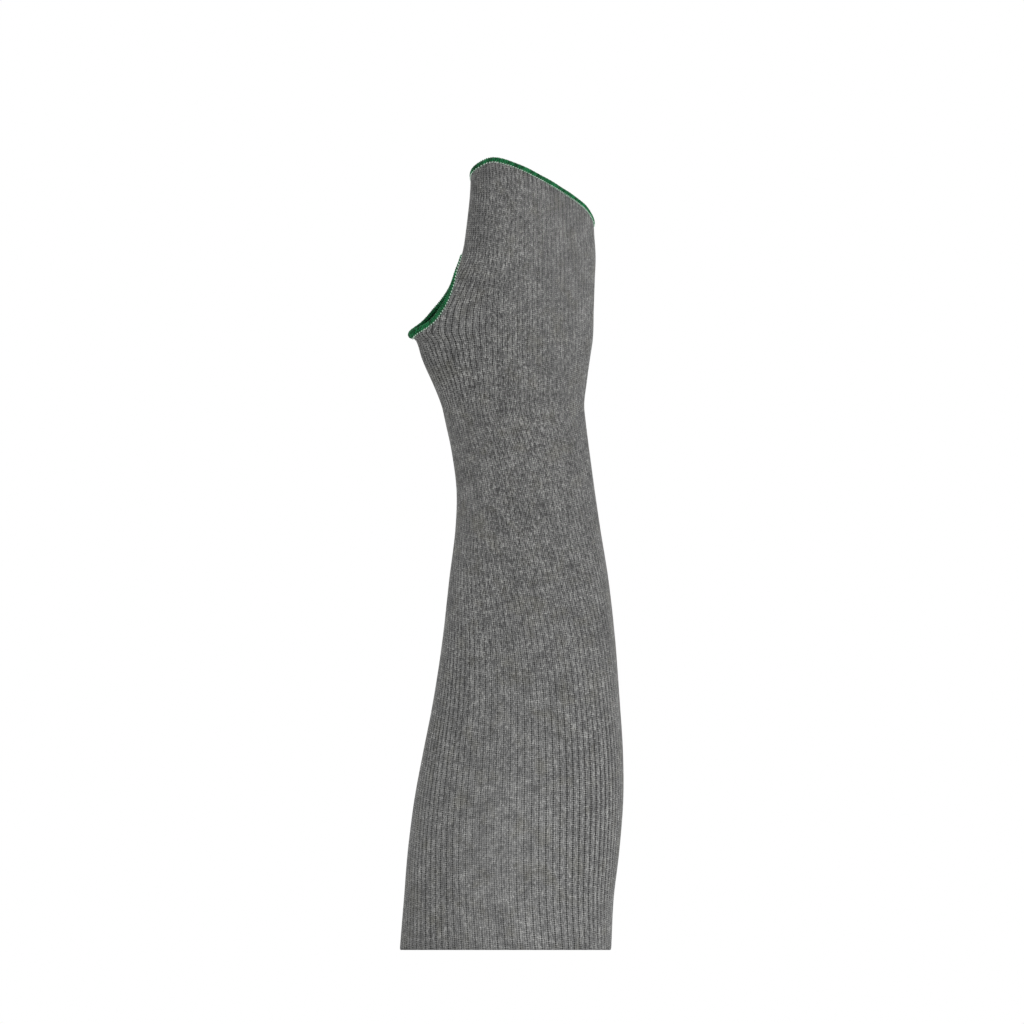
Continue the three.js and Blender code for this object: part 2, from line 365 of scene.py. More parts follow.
def row_levels(below, beside, above):
    """Levels of the rows on one face of the cloth, below, beside and above the thumb hole."""
    return np.concatenate([
        np.linspace(RIM_HEIGHT, HOLE_LOW, below)[:-1],
        np.linspace(HOLE_LOW, HOLE_HIGH, beside),
        np.linspace(HOLE_HIGH, SLEEVE_LENGTH - RIM_HEIGHT, above)[1:],
    ])


outer_levels = row_levels(below=118, beside=37, above=20)
inner_levels = row_levels(below=28, beside=37, above=6)[::-1]  # the inside is hardly seen

# Each row has a level and a share of the wall's thickness. Three short rows turn over a rim.
rim_rows = [(0.2, 0.12), (0.0, 0.5), (0.2, 0.88)]
wall_rows = np.array(
    [(level, 0.0) for level in outer_levels]
    + [(SLEEVE_LENGTH - below, through) for below, through in rim_rows]
    + [(level, 1.0) for level in inner_levels]
    + rim_rows[::-1]
    + [(outer_levels[0], 0.0)]
)
columns_round = RIBS * len(STEPS_IN_RIB)
print("the wall has", len(wall_rows) - 1, "rows of", columns_round, "faces")

# %% [markdown]
# The ribs run straight up from the arm opening, turn with the twist at the wrist and then run
# straight on. They stand out where the cloth is slack, at the sides of the wide end, behind
# and round the thumb hole, and flatten where it is stretched. A table of the turn and a few
# soft patches of slack say so, and the material reads the same patches. The slack could be
# painted on with a brush, but then it couldn't be read or changed in the script.

# %% How the ribs turn, and where they stand out
# Rows of height and of the degrees that a rib has turned by there.
rib_turns = np.array([
    (0, 0.0), (25, -4.0), (50, -7.5), (85, -11.0), (120, -15.0), (150, -21.5),
    (175, -29.0), (200, -35.5), (225, -40.0), (250, -45.0), (275, -51.5),
    (300, -55.5), (330, -58.5), (356, -60.0),
])

LEAST_SLACK = 0.38
SEAM_GAIN, SEAM_REACH = 0.35, 5.0  # the seam gathers the ribs just under the finger opening

# Rows of turn, height, spread in turn, spread in height, and how much the ribs gain there.
slack_patches = [
    (335, 55, 42, 62, 0.75),
    (330, 170, 26, 40, 0.25),
    (262, 40, 26, 40, -0.2),
    (208, 115, 26, 55, 0.38),
    (228, 20, 14, 60, 0.22),
    (195, 20, 34, 60, 0.25),
    (205, 318, 26, 32, 0.42),
    (205, 262, 36, 24, 0.42),
    (90, 60, 70, 70, 0.45),
    (90, 250, 60, 45, 0.45),
]


def cut_height(turn):
    """The height of the knit's cut edge, hidden in the finger opening's roll."""
    return finger_edge_at(np.mod(turn, 360) / 360)[1]


def slack_at(turn, z):
    """How strongly the ribs stand out, from about 0.2 to 1."""
    slack = LEAST_SLACK + 0 * z
    for patch_turn, patch_z, turn_spread, z_spread, gain in slack_patches:
        off = (np.mod(turn - patch_turn + 180, 360) - 180) / turn_spread
        slack = slack + gain * np.exp(-off ** 2 - ((z - patch_z) / z_spread) ** 2)
    below_seam = (cut_height(turn) - z) / SEAM_REACH
    return np.minimum(slack + SEAM_GAIN * np.exp(-below_seam ** 2), 1.0)


print("from one end of the sleeve to the other a rib turns by", rib_turns[-1, 1], "degrees")

# %% [markdown]
# The columns of the grid become ribs and its rows become levels of the tube. The finger
# opening is slanted, so the top rows slant with it. Cutting a level tube aslant would make
# the same rim, but it would cut through the courses, and on the real sleeve the last courses
# follow the seam.

# %% Lay the grid out as a tube
SLANT_POWER = 6  # the higher, the nearer to the finger opening the rows begin to slant

knit_mesh, column, row = flat_grid("knit_sleeve", columns_round, len(wall_rows) - 1)
rib_place = column // len(STEPS_IN_RIB) + np.array(STEPS_IN_RIB)[column % len(STEPS_IN_RIB)]
level, through = wall_rows[row, 0], wall_rows[row, 1]
turn = 360.0 * rib_place / RIBS + smooth(rib_turns, 1, level)
slant = (SLEEVE_LENGTH - cut_height(turn)) * (level / SLEEVE_LENGTH) ** SLANT_POWER
height = level - slant
print("vertices in the wall:", len(height), "and the most slant in mm:", slant.max().round(1))

# %% [markdown]
# The thumb hole is opened in the same grid. The vertices inside the oval that still belong
# to a face crossing it are drawn onto the oval, and the faces wholly inside are deleted.
# A boolean would do it too, but it would leave long thin triangles in the ribs.

# %% Draw the grid onto the edge of the thumb hole
HOLE_RADIUS = 32.0  # of the cloth there, so that turns and heights are weighed alike
OVAL_POINTS = 720

oval_turn, oval_z = thumb_edge_at(np.linspace(0, 1, OVAL_POINTS + 1)[:-1])
turn_to_mm = np.pi / 180 * HOLE_RADIUS


def inside_oval(turn, z):
    """True where a line round the tube from a point crosses the oval an odd number of times."""
    t = np.mod(turn, 360)
    inside = np.zeros(t.shape, bool)
    j = len(oval_turn) - 1
    for i in range(len(oval_turn)):
        crosses = (oval_z[i] > z) != (oval_z[j] > z)
        if crosses.any():
            cut = (oval_turn[j] - oval_turn[i]) * (z - oval_z[i]) / (
                oval_z[j] - oval_z[i] + 1e-12) + oval_turn[i]
            inside ^= crosses & (t < cut)
        j = i
    return inside


in_hole = inside_oval(turn, height)
vertex_of = np.full((columns_round + 1, len(wall_rows)), -1)
vertex_of[column, row] = np.arange(len(column))
corners = np.stack([
    vertex_of[:-1, :-1], vertex_of[1:, :-1], vertex_of[1:, 1:], vertex_of[:-1, 1:],
]).reshape(4, -1)
crossing = in_hole[corners].any(axis=0) & ~in_hole[corners].all(axis=0)
drawn = np.unique(corners[:, crossing])
drawn = drawn[in_hole[drawn]]
offsets = (np.mod(turn[drawn], 360)[:, None] - oval_turn) * turn_to_mm
nearest = np.argmin(offsets ** 2 + (height[drawn][:, None] - oval_z) ** 2, axis=1)
turn[drawn] += oval_turn[nearest] - np.mod(turn[drawn], 360)
height[drawn] = oval_z[nearest]
gone = in_hole.copy()
gone[drawn] = False
print("vertices drawn onto the thumb hole:", len(drawn), "and deleted:", int(gone.sum()))

# %% [markdown]
# Each vertex gets its depth: sunk in a groove, level on a crown, and with less relief inside.
# The stitches have to follow ribs that turn and spread, so the ribs and courses are written
# as a UV map, and the width and slack of the ribs go with the vertices as attributes. A
# pattern on Object coordinates would run straight across the ribs.

# %% Place the knit and note what its material needs
INNER_RELIEF = 0.3  # the ribs press flat on the inside

groove = np.array(STEP_DEPTHS)[column % len(STEPS_IN_RIB)]
slack = slack_at(turn, height)
relief_share = np.where(through > 0.5, INNER_RELIEF, 1.0)
depth = through * KNIT_WALL + (1 - 2 * through) * GROOVE_DEPTH * groove * slack * relief_share
place_vertices(knit_mesh, cloth_point(turn, height, depth))
write_uv(knit_mesh, "ribs_and_courses", rib_place, level / COURSE_HEIGHT)

half_rib = 180.0 / RIBS
rib_width = np.linalg.norm(
    outer_point(turn + half_rib, height) - outer_point(turn - half_rib, height), axis=1)
for attribute, values in (
        ("rib_width", rib_width), ("rib_slack", slack), ("in_thumb_hole", gone.astype(float))):
    layer = knit_mesh.attributes.new(attribute, "FLOAT", "POINT")
    layer.data.foreach_set("value", values)
print("the ribs are", rib_width.min().round(1), "to", rib_width.max().round(1), "mm wide")

# %% [markdown]
# The grid goes through the thumb hole twice, once outside and once inside. Deleting the
# marked vertices leaves two rims, and `bridge_loops` joins them, which closes the cloth's
# thickness all round the hole. The edging hides this rim later, as the seam does on the real
# sleeve.

# %% Open the thumb hole and join its inner and outer rims
bm = bmesh.new()
bm.from_mesh(knit_mesh)
mark = bm.verts.layers.float["in_thumb_hole"]
bmesh.ops.delete(bm, geom=[v for v in bm.verts if v[mark] > 0.5], context="VERTS")
bmesh.ops.remove_doubles(bm, verts=bm.verts, dist=WELD)
hole_rims = [e for e in bm.edges if e.is_boundary]
print("edges round the two rims of the thumb hole:", len(hole_rims))
bmesh.ops.bridge_loops(bm, edges=hole_rims)
bm.to_mesh(knit_mesh)
bm.free()
knit_mesh.attributes.remove(knit_mesh.attributes["in_thumb_hole"])
knit_sleeve = finished_piece(knit_mesh)
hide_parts("sleeve_body")

# %% [markdown]
# ## The overlocked edges
#
# An overlock machine trims a knit edge and wraps it in thread. Looper threads go round the
# edge close together, and a needle thread holds them down in a line of small stitches on
# the cloth. A smooth tube with a striped material would look like piping, so here a core
# fills the roll, one long thread is wound on it, and a row of small loops lies beside it.

# %% Threads along an edge
WRAP_PITCH = 0.9  # about 0.75 on the real edge, drawn wider so that the wraps show
LOOPER_THREAD = 0.8
NEEDLE_THREAD = 0.4
NEEDLE_PITCH = 1.35  # the stitches of the needle thread, drawn wider for the same reason
FULLER_TURN = 0.55  # the share that the roll gains where the thumb hole turns most
FULLER_REACH = 0.07  # of the way round the hole, to either side
CORE_SIDES = 10
THREAD_SIDES = 5  # enough for a thread under a millimetre thick


def fullness(edge_at, share):
    """How much fuller the roll is where the thumb hole turns at its lowest point."""
    gathered = FULLER_TURN if edge_at is thumb_edge_at else 0.0
    return 1 + gathered * np.exp(-((share - 0.5) / FULLER_REACH) ** 2)


def roll_points(edge_at, share, angle, half_thickness, half_width):
    """Points round the roll of an edge. An angle of 0 faces out of the cloth."""
    middle, out, inward = edge_frame(edge_at, share)
    full = fullness(edge_at, share)
    return (middle + out * (np.cos(angle) * half_thickness * full)[:, None]
            + inward * (-np.sin(angle) * half_width * full)[:, None])


def thread_skin(path, out, column, row, radius):
    """Points of a thread's skin, from its path and a direction that leaves it sideways."""
    along = unit(np.roll(path, -1, axis=0) - np.roll(path, 1, axis=0))
    side = unit(np.cross(along, out))
    lift = np.cross(side, along)
    at = column % len(path)
    angle = (row % THREAD_SIDES) / THREAD_SIDES * 2 * np.pi
    return path[at] + radius * (side[at] * np.cos(angle)[:, None]
                                + lift[at] * np.sin(angle)[:, None])


def core_of(name, edge_at, steps):
    """The plain roll under the threads, which shows in the gaps between them."""
    mesh, column, row = flat_grid(name, steps, CORE_SIDES)
    share = (column % steps) / steps
    angle = (row % CORE_SIDES) / CORE_SIDES * 2 * np.pi
    inset = LOOPER_THREAD * 0.5
    place_vertices(mesh, roll_points(edge_at, share, angle, EDGING_THICKNESS / 2 - inset,
                                     EDGING_WIDTH / 2 - inset))
    return mesh


print("a roll is", EDGING_WIDTH, "mm wide, and its thread is", LOOPER_THREAD, "mm thick")

# %% [markdown]
# The looper thread is one long grid bent along a helix, so it really winds round the roll.
# Separate rings would look alike from afar, but rings don't slant from one to the next as
# wraps do. Real wraps are never all equally tight, so two slow waves of different length
# loosen some of them.

# %% Wind the looper thread
STEPS_IN_WRAP = 14
FLUFF = 0.08  # how far the wound thread stands past the smooth roll of the solid


def wound_thread(name, edge_at):
    """One thread wound round the roll, as many times as fit along the edge."""
    wraps = round(edge_length(edge_at) / WRAP_PITCH)
    steps = wraps * STEPS_IN_WRAP
    mesh, column, row = flat_grid(name, steps, THREAD_SIDES)
    share = evenly_round(edge_at, steps)
    wrap = np.arange(steps) / STEPS_IN_WRAP
    loose = FLUFF * (1 + 0.5 * np.sin(wrap * 2.4) + 0.5 * np.sin(wrap * 0.37 + 1.0))
    reach = LOOPER_THREAD / 2
    path = roll_points(edge_at, share, wrap * 2 * np.pi, EDGING_THICKNESS / 2 - reach + loose,
                       EDGING_WIDTH / 2 - reach + loose)
    outwards = path - edge_frame(edge_at, share)[0]
    place_vertices(mesh, thread_skin(path, outwards, column, row, reach))
    write_uv(mesh, "along_thread", column / STEPS_IN_WRAP, row / THREAD_SIDES)
    print(name, "is wound", wraps, "times")
    return mesh


# %% [markdown]
# The needle thread shows as a row of short pale stitches where the roll meets the cloth. On
# the real sleeve it goes in and out of the cloth, so here one thread rises and sinks in the
# same way on each face, and the cloth hides it between two stitches. A dashed line in the
# material would lie flat and catch no light.

# %% Lay the needle thread
STEPS_IN_STITCH = 10
NEEDLE_INSET, NEEDLE_SWAY = 0.25, 0.12  # how far under the roll it lies, and how it wanders
NEEDLE_SINK, NEEDLE_LIFT = 0.4, 0.66  # its middle lies in the cloth, and it rises out of it


def needle_thread(name, edge_at, face):
    """A thread that dips in and out of the cloth beside the roll, on one face of it."""
    stitches = round(edge_length(edge_at) / NEEDLE_PITCH)
    steps = stitches * STEPS_IN_STITCH
    mesh, column, row = flat_grid(name, steps, THREAD_SIDES)
    share = evenly_round(edge_at, steps)
    phase = np.arange(steps) / STEPS_IN_STITCH * 2 * np.pi
    middle, out, inward = edge_frame(edge_at, share)
    roll_side = -EDGING_WIDTH / 2 * fullness(edge_at, share)
    sway = roll_side + NEEDLE_INSET + NEEDLE_SWAY * np.sin(phase)
    rise = face * (SOLID_WALL / 2 - NEEDLE_SINK + NEEDLE_LIFT * np.cos(phase))
    path = middle + inward * sway[:, None] + out * rise[:, None]
    place_vertices(mesh, thread_skin(path, out * face, column, row, NEEDLE_THREAD / 2))
    write_uv(mesh, "along_thread", column / STEPS_IN_STITCH, row / THREAD_SIDES)
    print(name, "has", stitches, "stitches")
    return mesh


# %% [markdown]
# Both edges are sewn alike, so one loop makes them. The wound thread stands in for the plain
# roll of the solid model, and the core and the needle threads come with it.

# %% Make both edges
edgings = {}
for edge_name, edge_at, core_steps in (
        ("finger", finger_edge_at, 400), ("thumb", thumb_edge_at, 160)):
    core = finished_piece(core_of(edge_name + "_edge_core", edge_at, core_steps))
    wound = finished_piece(wound_thread(edge_name + "_edge_looper", edge_at))
    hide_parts(edge_name + "_edge")
    needles = [
        finished_piece(needle_thread(edge_name + "_edge_needle_" + side, edge_at, face))
        for side, face in (("outside", 1), ("inside", -1))
    ]
    edgings[edge_name] = {"core": core, "looper": wound, "needles": needles}
print("pieces along the edges:", sum(2 + len(e["needles"]) for e in edgings.values()))

# %% [markdown]
# The knit is a sheet of cloth. Cut open along one rib and laid flat it is a piece about
# 235 mm by 356 mm: the mean girth of the worn tube by its length. It keeps this shape only
# while it is worn.

# %% [markdown]
# ## Materials
#
# Both finishes are yarn, so both are rough, with a soft sheen from loose fibres and hardly
# any gloss. Colours are given as they look on a screen and turned to linear by one function,
# and one small function adds a node, so that each graph reads as a list.

# %% Colour and node helpers
def linear(hex_colour):
    """A screen colour such as #6f706d as linear red, green, blue and alpha."""
    parts = [int(hex_colour[i:i + 2], 16) / 255 for i in (1, 3, 5)]
    return [p / 12.92 if p <= 0.04045 else ((p + 0.055) / 1.055) ** 2.4 for p in parts] + [1.0]


def add_node(tree, kind, inputs=None, **settings):
    """Adds a node, sets its settings, and fills its inputs with values, sockets or nodes."""
    node = tree.nodes.new("ShaderNode" + kind)
    for setting, value in settings.items():
        setattr(node, setting, value)
    for key, value in (inputs or {}).items():
        if isinstance(value, bpy.types.Node):
            value = value.outputs[0]
        if isinstance(value, bpy.types.NodeSocket):
            tree.links.new(value, node.inputs[key])
        else:
            node.inputs[key].default_value = value
    return node


def new_material(name):
    """A material with its node tree and its surface shader."""
    material = bpy.data.materials.new(name)
    material.use_nodes = True
    tree = material.node_tree
    return material, tree, tree.nodes["Principled BSDF"]


print("middle grey in linear light:", round(linear("#707070")[0], 3))

# %% [markdown]
# ### Grey heather yarn
#
# The yarn is a blend of dark, mid and pale fibres with a few yellowish ones, spun and knitted
# course by course. To the eye that is a matte grey, mottled in short level flecks and single
# pale stitches. A picture of knit could be laid on it, but it would repeat and blur close up.
# So the graph is built from what the cloth has: a stitch is a pair of slanting legs, three
# stitches make a rib, and a groove with painted shade runs between two ribs. Real sizes set
# the scale, about 3 mm for a rib and 0.9 mm for a course, which is drawn as 0.98 mm.

# %% Knit: where a point lies in its stitch
WALES_IN_RIB = 3.0  # a wale is a column of stitches
STAGGER = 0.37  # of a course, the shift of the stitches from one rib to the next

knit_yarn, tree, surface = new_material("grey_heather_rib_knit")
uv = add_node(tree, "UVMap", uv_map="ribs_and_courses")
apart = add_node(tree, "SeparateXYZ", {"Vector": uv})
rib, course = apart.outputs["X"], apart.outputs["Y"]
slackness = add_node(tree, "Attribute", attribute_name="rib_slack").outputs["Fac"]
rib_width = add_node(tree, "Attribute", attribute_name="rib_width").outputs["Fac"]
place = add_node(tree, "TexCoord").outputs["Object"]

wale = add_node(tree, "Math", {0: rib, 1: WALES_IN_RIB}, operation="MULTIPLY")
wale_number = add_node(tree, "Math", {0: wale}, operation="FLOOR")
wale_share = add_node(tree, "Math", {0: wale}, operation="FRACT")
in_wale = add_node(tree, "Math", {0: wale_share, 1: 0.5}, operation="SUBTRACT")
from_middle = add_node(tree, "Math", {0: in_wale}, operation="ABSOLUTE")
side = add_node(tree, "Math", {0: in_wale}, operation="SIGN")
print("stitches round the sleeve:", round(RIBS * WALES_IN_RIB))
print("courses up it:", round(SLEEVE_LENGTH / COURSE_HEIGHT))

# %% [markdown]
# The two legs of a stitch climb to its sides like a V. A point's course less its distance
# from the middle of the wale gives the leg that it lies on, and a half sine over that leg
# makes it round. The shift from rib to rib keeps the courses from lining up as level bars,
# which real ribs, each pulled a little differently, never do.

# %% Knit: the legs of the stitches
rib_number = add_node(tree, "Math", {0: rib}, operation="ROUND")
stagger = add_node(
    tree, "Math", {0: rib_number, 1: STAGGER, 2: course}, operation="MULTIPLY_ADD")
leg_phase = add_node(tree, "Math", {0: stagger, 1: from_middle}, operation="SUBTRACT")
leg_number = add_node(tree, "Math", {0: leg_phase}, operation="FLOOR")
leg_share = add_node(tree, "Math", {0: leg_phase}, operation="FRACT")
leg_angle = add_node(tree, "Math", {0: leg_share, 1: math.pi}, operation="MULTIPLY")
leg_curve = add_node(tree, "Math", {0: leg_angle}, operation="SINE")
print("from one rib to the next the stitches shift by", STAGGER, "of a course")

# %% Knit: the groove between two ribs, and the gaps between wales
to_groove = add_node(tree, "Math", {0: rib, 1: 0.5}, operation="PINGPONG")
groove_reach = add_node(  # in ribs: 0.13 where the cloth is stretched, 0.27 where it is slack
    tree, "Math", {0: slackness, 1: 0.17, 2: 0.1}, operation="MULTIPLY_ADD")
in_groove = add_node(tree, "MapRange", {
    "Value": to_groove, "From Min": 0.03, "From Max": groove_reach, "To Min": 1.0, "To Max": 0.0,
}, interpolation_type="SMOOTHSTEP")
between_wales = add_node(tree, "MapRange", {
    "Value": from_middle, "From Min": 0.15, "From Max": 0.5, "To Min": 0.0, "To Max": 1.0,
}, interpolation_type="SMOOTHSTEP")
print("nodes that place the stitches:", len(tree.nodes))

# %% [markdown]
# Three things shade the yarn. Each leg shows another stretch of yarn, so each has its own
# shade. Along a course the blend of fibres changes slowly, which makes flecks about 4 mm long
# and 1 mm high. Patches of about 8 mm are lighter, darker or more olive, as in any heather.
# One noise could serve for all, but it would look like dust and not like yarn.

# %% Knit: shades of the legs, of the yarn along a course, and of whole patches
FLECKS = (240, 240, 900)  # in a metre, so a fleck is about 4 mm long and 1.1 mm high
PATCHES = 130.0  # in a metre, about 8 mm each
OLIVE_PATCHES = 110.0  # about 9 mm each
LINES = (3.0, 0.12, 1.0)  # in a rib and in a course, so a dark line runs on for 8 courses

leg_seed = add_node(tree, "CombineXYZ", {"X": wale_number, "Y": leg_number, "Z": side})
leg_shade = add_node(tree, "TexWhiteNoise", {"Vector": leg_seed}, noise_dimensions="3D")
along_course = add_node(tree, "Mapping", {"Vector": place, "Scale": FLECKS})
yarn_fleck = add_node(tree, "TexNoise", {
    "Vector": along_course, "Scale": 1.0, "Detail": 2.0, "Roughness": 0.55})
patch_noise = add_node(tree, "TexNoise", {
    "Vector": place, "Scale": PATCHES, "Detail": 3.0, "Roughness": 0.6})
olive_noise = add_node(tree, "TexNoise", {
    "Vector": place, "Scale": OLIVE_PATCHES, "Detail": 3.0, "Roughness": 0.6})
line_place = add_node(tree, "Mapping", {"Vector": uv, "Scale": LINES})
line_noise = add_node(tree, "TexNoise", {
    "Vector": line_place, "Scale": 1.0, "Detail": 3.0, "Roughness": 0.6},
    noise_dimensions="2D")
print("a fleck is", round(1000 / FLECKS[0], 1), "mm long and", round(1000 / FLECKS[2], 1), "high")

# %% [markdown]
# The shades are added up and a colour ramp turns the sum into the greys of the blend. Where
# the ribs draw together, a stitch is narrow and its two legs differ more to the eye, so the
# contrast between legs grows as a rib gets narrower.

# %% Knit: mix the yarn's colours
FULL_CONTRAST = 0.62  # past this, single stitches would stand out as dots
HEATHER = ("#3a3a3a", "#585858", "#707070", "#8b8b8a", "#adadab")
OLIVE = "#74715f"

closeness = add_node(tree, "Math", {0: rib_width, 1: -0.27, 2: 1.18}, operation="MULTIPLY_ADD")
closeness = add_node(
    tree, "Math", {0: slackness, 1: 0.18, 2: closeness}, operation="MULTIPLY_ADD")
closeness = add_node(tree, "Math", {0: closeness, 1: FULL_CONTRAST}, operation="MINIMUM")
leg_contrast = add_node(tree, "Math", {0: leg_shade, 1: 0.5}, operation="SUBTRACT")
leg_contrast = add_node(tree, "Math", {0: leg_contrast, 1: closeness}, operation="MULTIPLY")
shade = add_node(tree, "Math", {0: yarn_fleck, 1: 0.4, 2: 0.25}, operation="MULTIPLY_ADD")
shade = add_node(tree, "Math", {0: leg_contrast, 1: shade}, operation="ADD")
shade = add_node(tree, "Math", {0: patch_noise, 1: 0.55, 2: shade}, operation="MULTIPLY_ADD")
shade = add_node(tree, "Math", {0: shade, 1: 1.2, 2: -0.3}, operation="MULTIPLY_ADD")
marl = add_node(tree, "ValToRGB", {"Fac": shade})
for number, colour in enumerate(HEATHER[1:-1], start=1):
    marl.color_ramp.elements.new(number / (len(HEATHER) - 1)).color = linear(colour)
marl.color_ramp.elements[0].color = linear(HEATHER[0])
marl.color_ramp.elements[-1].color = linear(HEATHER[-1])
olive_amount = add_node(tree, "MapRange", {
    "Value": olive_noise, "From Min": 0.52, "From Max": 0.7, "To Min": 0.0, "To Max": 0.24})
# The inputs 6 and 7 and the output 2 of a Mix node are the ones for colours.
with_olive = add_node(tree, "Mix", {
    "Factor": olive_amount, 6: marl, 7: linear(OLIVE)}, data_type="RGBA").outputs[2]
print("shades in the blend:", len(marl.color_ramp.elements))

# %% [markdown]
# The eye reads ribs by the shade between them, and that shade is painted into the colour. In
# a groove the painted shade is a row of small gaps, one for each course, and a fainter row
# lies between two wales and between the two legs of a stitch. The painted shade is weaker
# here and there, because loose fibres bridge the gaps. Real light would shade them by itself
# only if each stitch were modelled, which is far too fine for a whole sleeve.

# %% Knit: painted shade in the gaps
# The colour of the painted shade in the gaps.
PAINTED_GAP_SHADE_COLOUR = "#1c1c1c"
LEG_GAP_SHADE, WALE_GAP_SHADE = 0.32, 1.25  # how strong the painted shade is between two legs and between two wales

# Painted shade in dots along each groove and between two wales, one dot for each course.
dot_share = add_node(tree, "Math", {0: stagger}, operation="FRACT")
dot_angle = add_node(tree, "Math", {0: dot_share, 1: math.pi}, operation="MULTIPLY")
dot_curve = add_node(tree, "Math", {0: dot_angle}, operation="SINE")
dots = add_node(tree, "MapRange", {
    "Value": dot_curve, "From Min": 0.25, "From Max": 0.9, "To Min": 1.0, "To Max": 0.2,
}, interpolation_type="SMOOTHSTEP")
groove_dots = add_node(tree, "Math", {0: in_groove, 1: dots}, operation="MULTIPLY")
# A groove's painted shade is stronger where the cloth is slack.
groove_depth = add_node(tree, "Math", {0: slackness, 1: 2.1, 2: -0.15}, operation="MULTIPLY_ADD")
groove_painted_shade = add_node(tree, "Math", {0: groove_dots, 1: groove_depth}, operation="MULTIPLY")
line_depth = add_node(
    tree, "Math", {0: line_noise, 1: 2.4, 2: -0.55}, operation="MULTIPLY_ADD", use_clamp=True)
wale_dots = add_node(tree, "Math", {0: between_wales, 1: dots}, operation="MULTIPLY")
wale_painted_shade = add_node(tree, "Math", {0: wale_dots, 1: line_depth}, operation="MULTIPLY")
wale_painted_shade = add_node(tree, "Math", {0: wale_painted_shade, 1: WALE_GAP_SHADE}, operation="MULTIPLY")
# Painted shade also lies between the two legs of a stitch, where they sink.
leg_gap = add_node(tree, "Math", {0: 1.0, 1: leg_curve}, operation="SUBTRACT")
painted_gap_shade = add_node(
    tree, "Math", {0: leg_gap, 1: LEG_GAP_SHADE, 2: wale_painted_shade}, operation="MULTIPLY_ADD")
painted_gap_shade = add_node(
    tree, "Math", {0: groove_painted_shade, 1: painted_gap_shade}, operation="ADD", use_clamp=True)
# The painted shade of the gaps is mixed over the yarn's colour.
knit_colour_and_shade = add_node(tree, "Mix", {
    "Factor": painted_gap_shade, 6: with_olive, 7: linear(PAINTED_GAP_SHADE_COLOUR)}, data_type="RGBA").outputs[2]
print("nodes that colour the knit:", len(tree.nodes))

# %% [markdown]
# The legs stand up as rounded yarn and sink between two wales, and short fibres roughen them.
# That relief is far under a millimetre, so a bump does. Yarn is all but free of gloss, and
# the loose fibres give a faint sheen at the sides of the tube.

# %% Knit: relief and finish
FIBRES = 1500.0  # in a metre, about 0.7 mm each, far coarser than real fibres so that they show
STITCH_RELIEF = 0.3 * MM

wale_round = add_node(
    tree, "Math", {0: between_wales, 1: -0.8, 2: 1.0}, operation="MULTIPLY_ADD")
stitch_height = add_node(tree, "Math", {0: leg_curve, 1: wale_round}, operation="MULTIPLY")
fuzz = add_node(tree, "TexNoise", {"Vector": place, "Scale": FIBRES, "Detail": 2.0})
relief = add_node(tree, "Math", {0: fuzz, 1: 0.35, 2: stitch_height}, operation="MULTIPLY_ADD")
stitch_bump = add_node(tree, "Bump", {
    "Height": relief, "Strength": 0.8, "Distance": STITCH_RELIEF})
tree.links.new(knit_colour_and_shade, surface.inputs["Base Color"])
tree.links.new(stitch_bump.outputs["Normal"], surface.inputs["Normal"])
surface.inputs["Roughness"].default_value = 0.95
surface.inputs["Specular IOR Level"].default_value = 0.2
surface.inputs["Sheen Weight"].default_value = 0.12
surface.inputs["Sheen Roughness"].default_value = 0.6
knit_sleeve.data.materials.append(knit_yarn)
print("knit material has", len(tree.nodes), "nodes")

# %% [markdown]
# ### Green overlock thread
#
# Overlock thread is textured polyester, twisted from a few plies, dull and a little fluffy.
# On the roll the eye sees deep green wraps that are each a bit lighter or darker than the
# next, and beside it stitches of a paler thread. One plain green would make the roll look
# like a rubber cord, so the plies run aslant along the thread with painted shade between
# them, and each wrap has its shade.

# %% Thread materials
UNEVEN_THREAD = 420.0  # in a metre, so the green changes over about 2.4 mm
PLY_RELIEF = 0.08 * MM


def thread_material(name, dark, light, plies):
    """Twisted thread whose plies run aslant along it, with painted shade between the plies."""
    material, tree, surface = new_material(name)
    uv = add_node(tree, "UVMap", uv_map="along_thread")
    apart = add_node(tree, "SeparateXYZ", {"Vector": uv})
    along, around = apart.outputs["X"], apart.outputs["Y"]
    twist = add_node(tree, "Math", {0: along, 1: plies, 2: around}, operation="MULTIPLY_ADD")
    twist = add_node(tree, "Math", {0: twist, 1: 2.0}, operation="MULTIPLY")
    ply = add_node(tree, "Math", {0: twist, 1: 1.0}, operation="PINGPONG")
    place = add_node(tree, "TexCoord").outputs["Object"]
    uneven = add_node(tree, "TexNoise", {
        "Vector": place, "Scale": UNEVEN_THREAD, "Detail": 3.0})
    wrap_number = add_node(tree, "Math", {0: along}, operation="FLOOR")
    wrap_shade = add_node(tree, "TexWhiteNoise", {"W": wrap_number}, noise_dimensions="1D")
    shade = add_node(tree, "Math", {0: uneven, 1: 1.2, 2: -0.7}, operation="MULTIPLY_ADD")
    shade = add_node(tree, "Math", {0: wrap_shade, 1: 0.8, 2: shade}, operation="MULTIPLY_ADD")
    # the plies' crowns are lighter and painted shade darkens the hollows between them
    shade = add_node(tree, "Math", {0: ply, 1: 0.35, 2: shade}, operation="MULTIPLY_ADD",
                     use_clamp=True)
    colour = add_node(tree, "Mix", {
        "Factor": shade, 6: linear(dark), 7: linear(light)}, data_type="RGBA").outputs[2]
    bump = add_node(tree, "Bump", {"Height": ply, "Strength": 0.5, "Distance": PLY_RELIEF})
    tree.links.new(colour, surface.inputs["Base Color"])
    tree.links.new(bump.outputs["Normal"], surface.inputs["Normal"])
    surface.inputs["Roughness"].default_value = 0.75
    surface.inputs["Specular IOR Level"].default_value = 0.15
    surface.inputs["Sheen Weight"].default_value = 0.04
    print(name, "has", len(tree.nodes), "nodes")
    return material


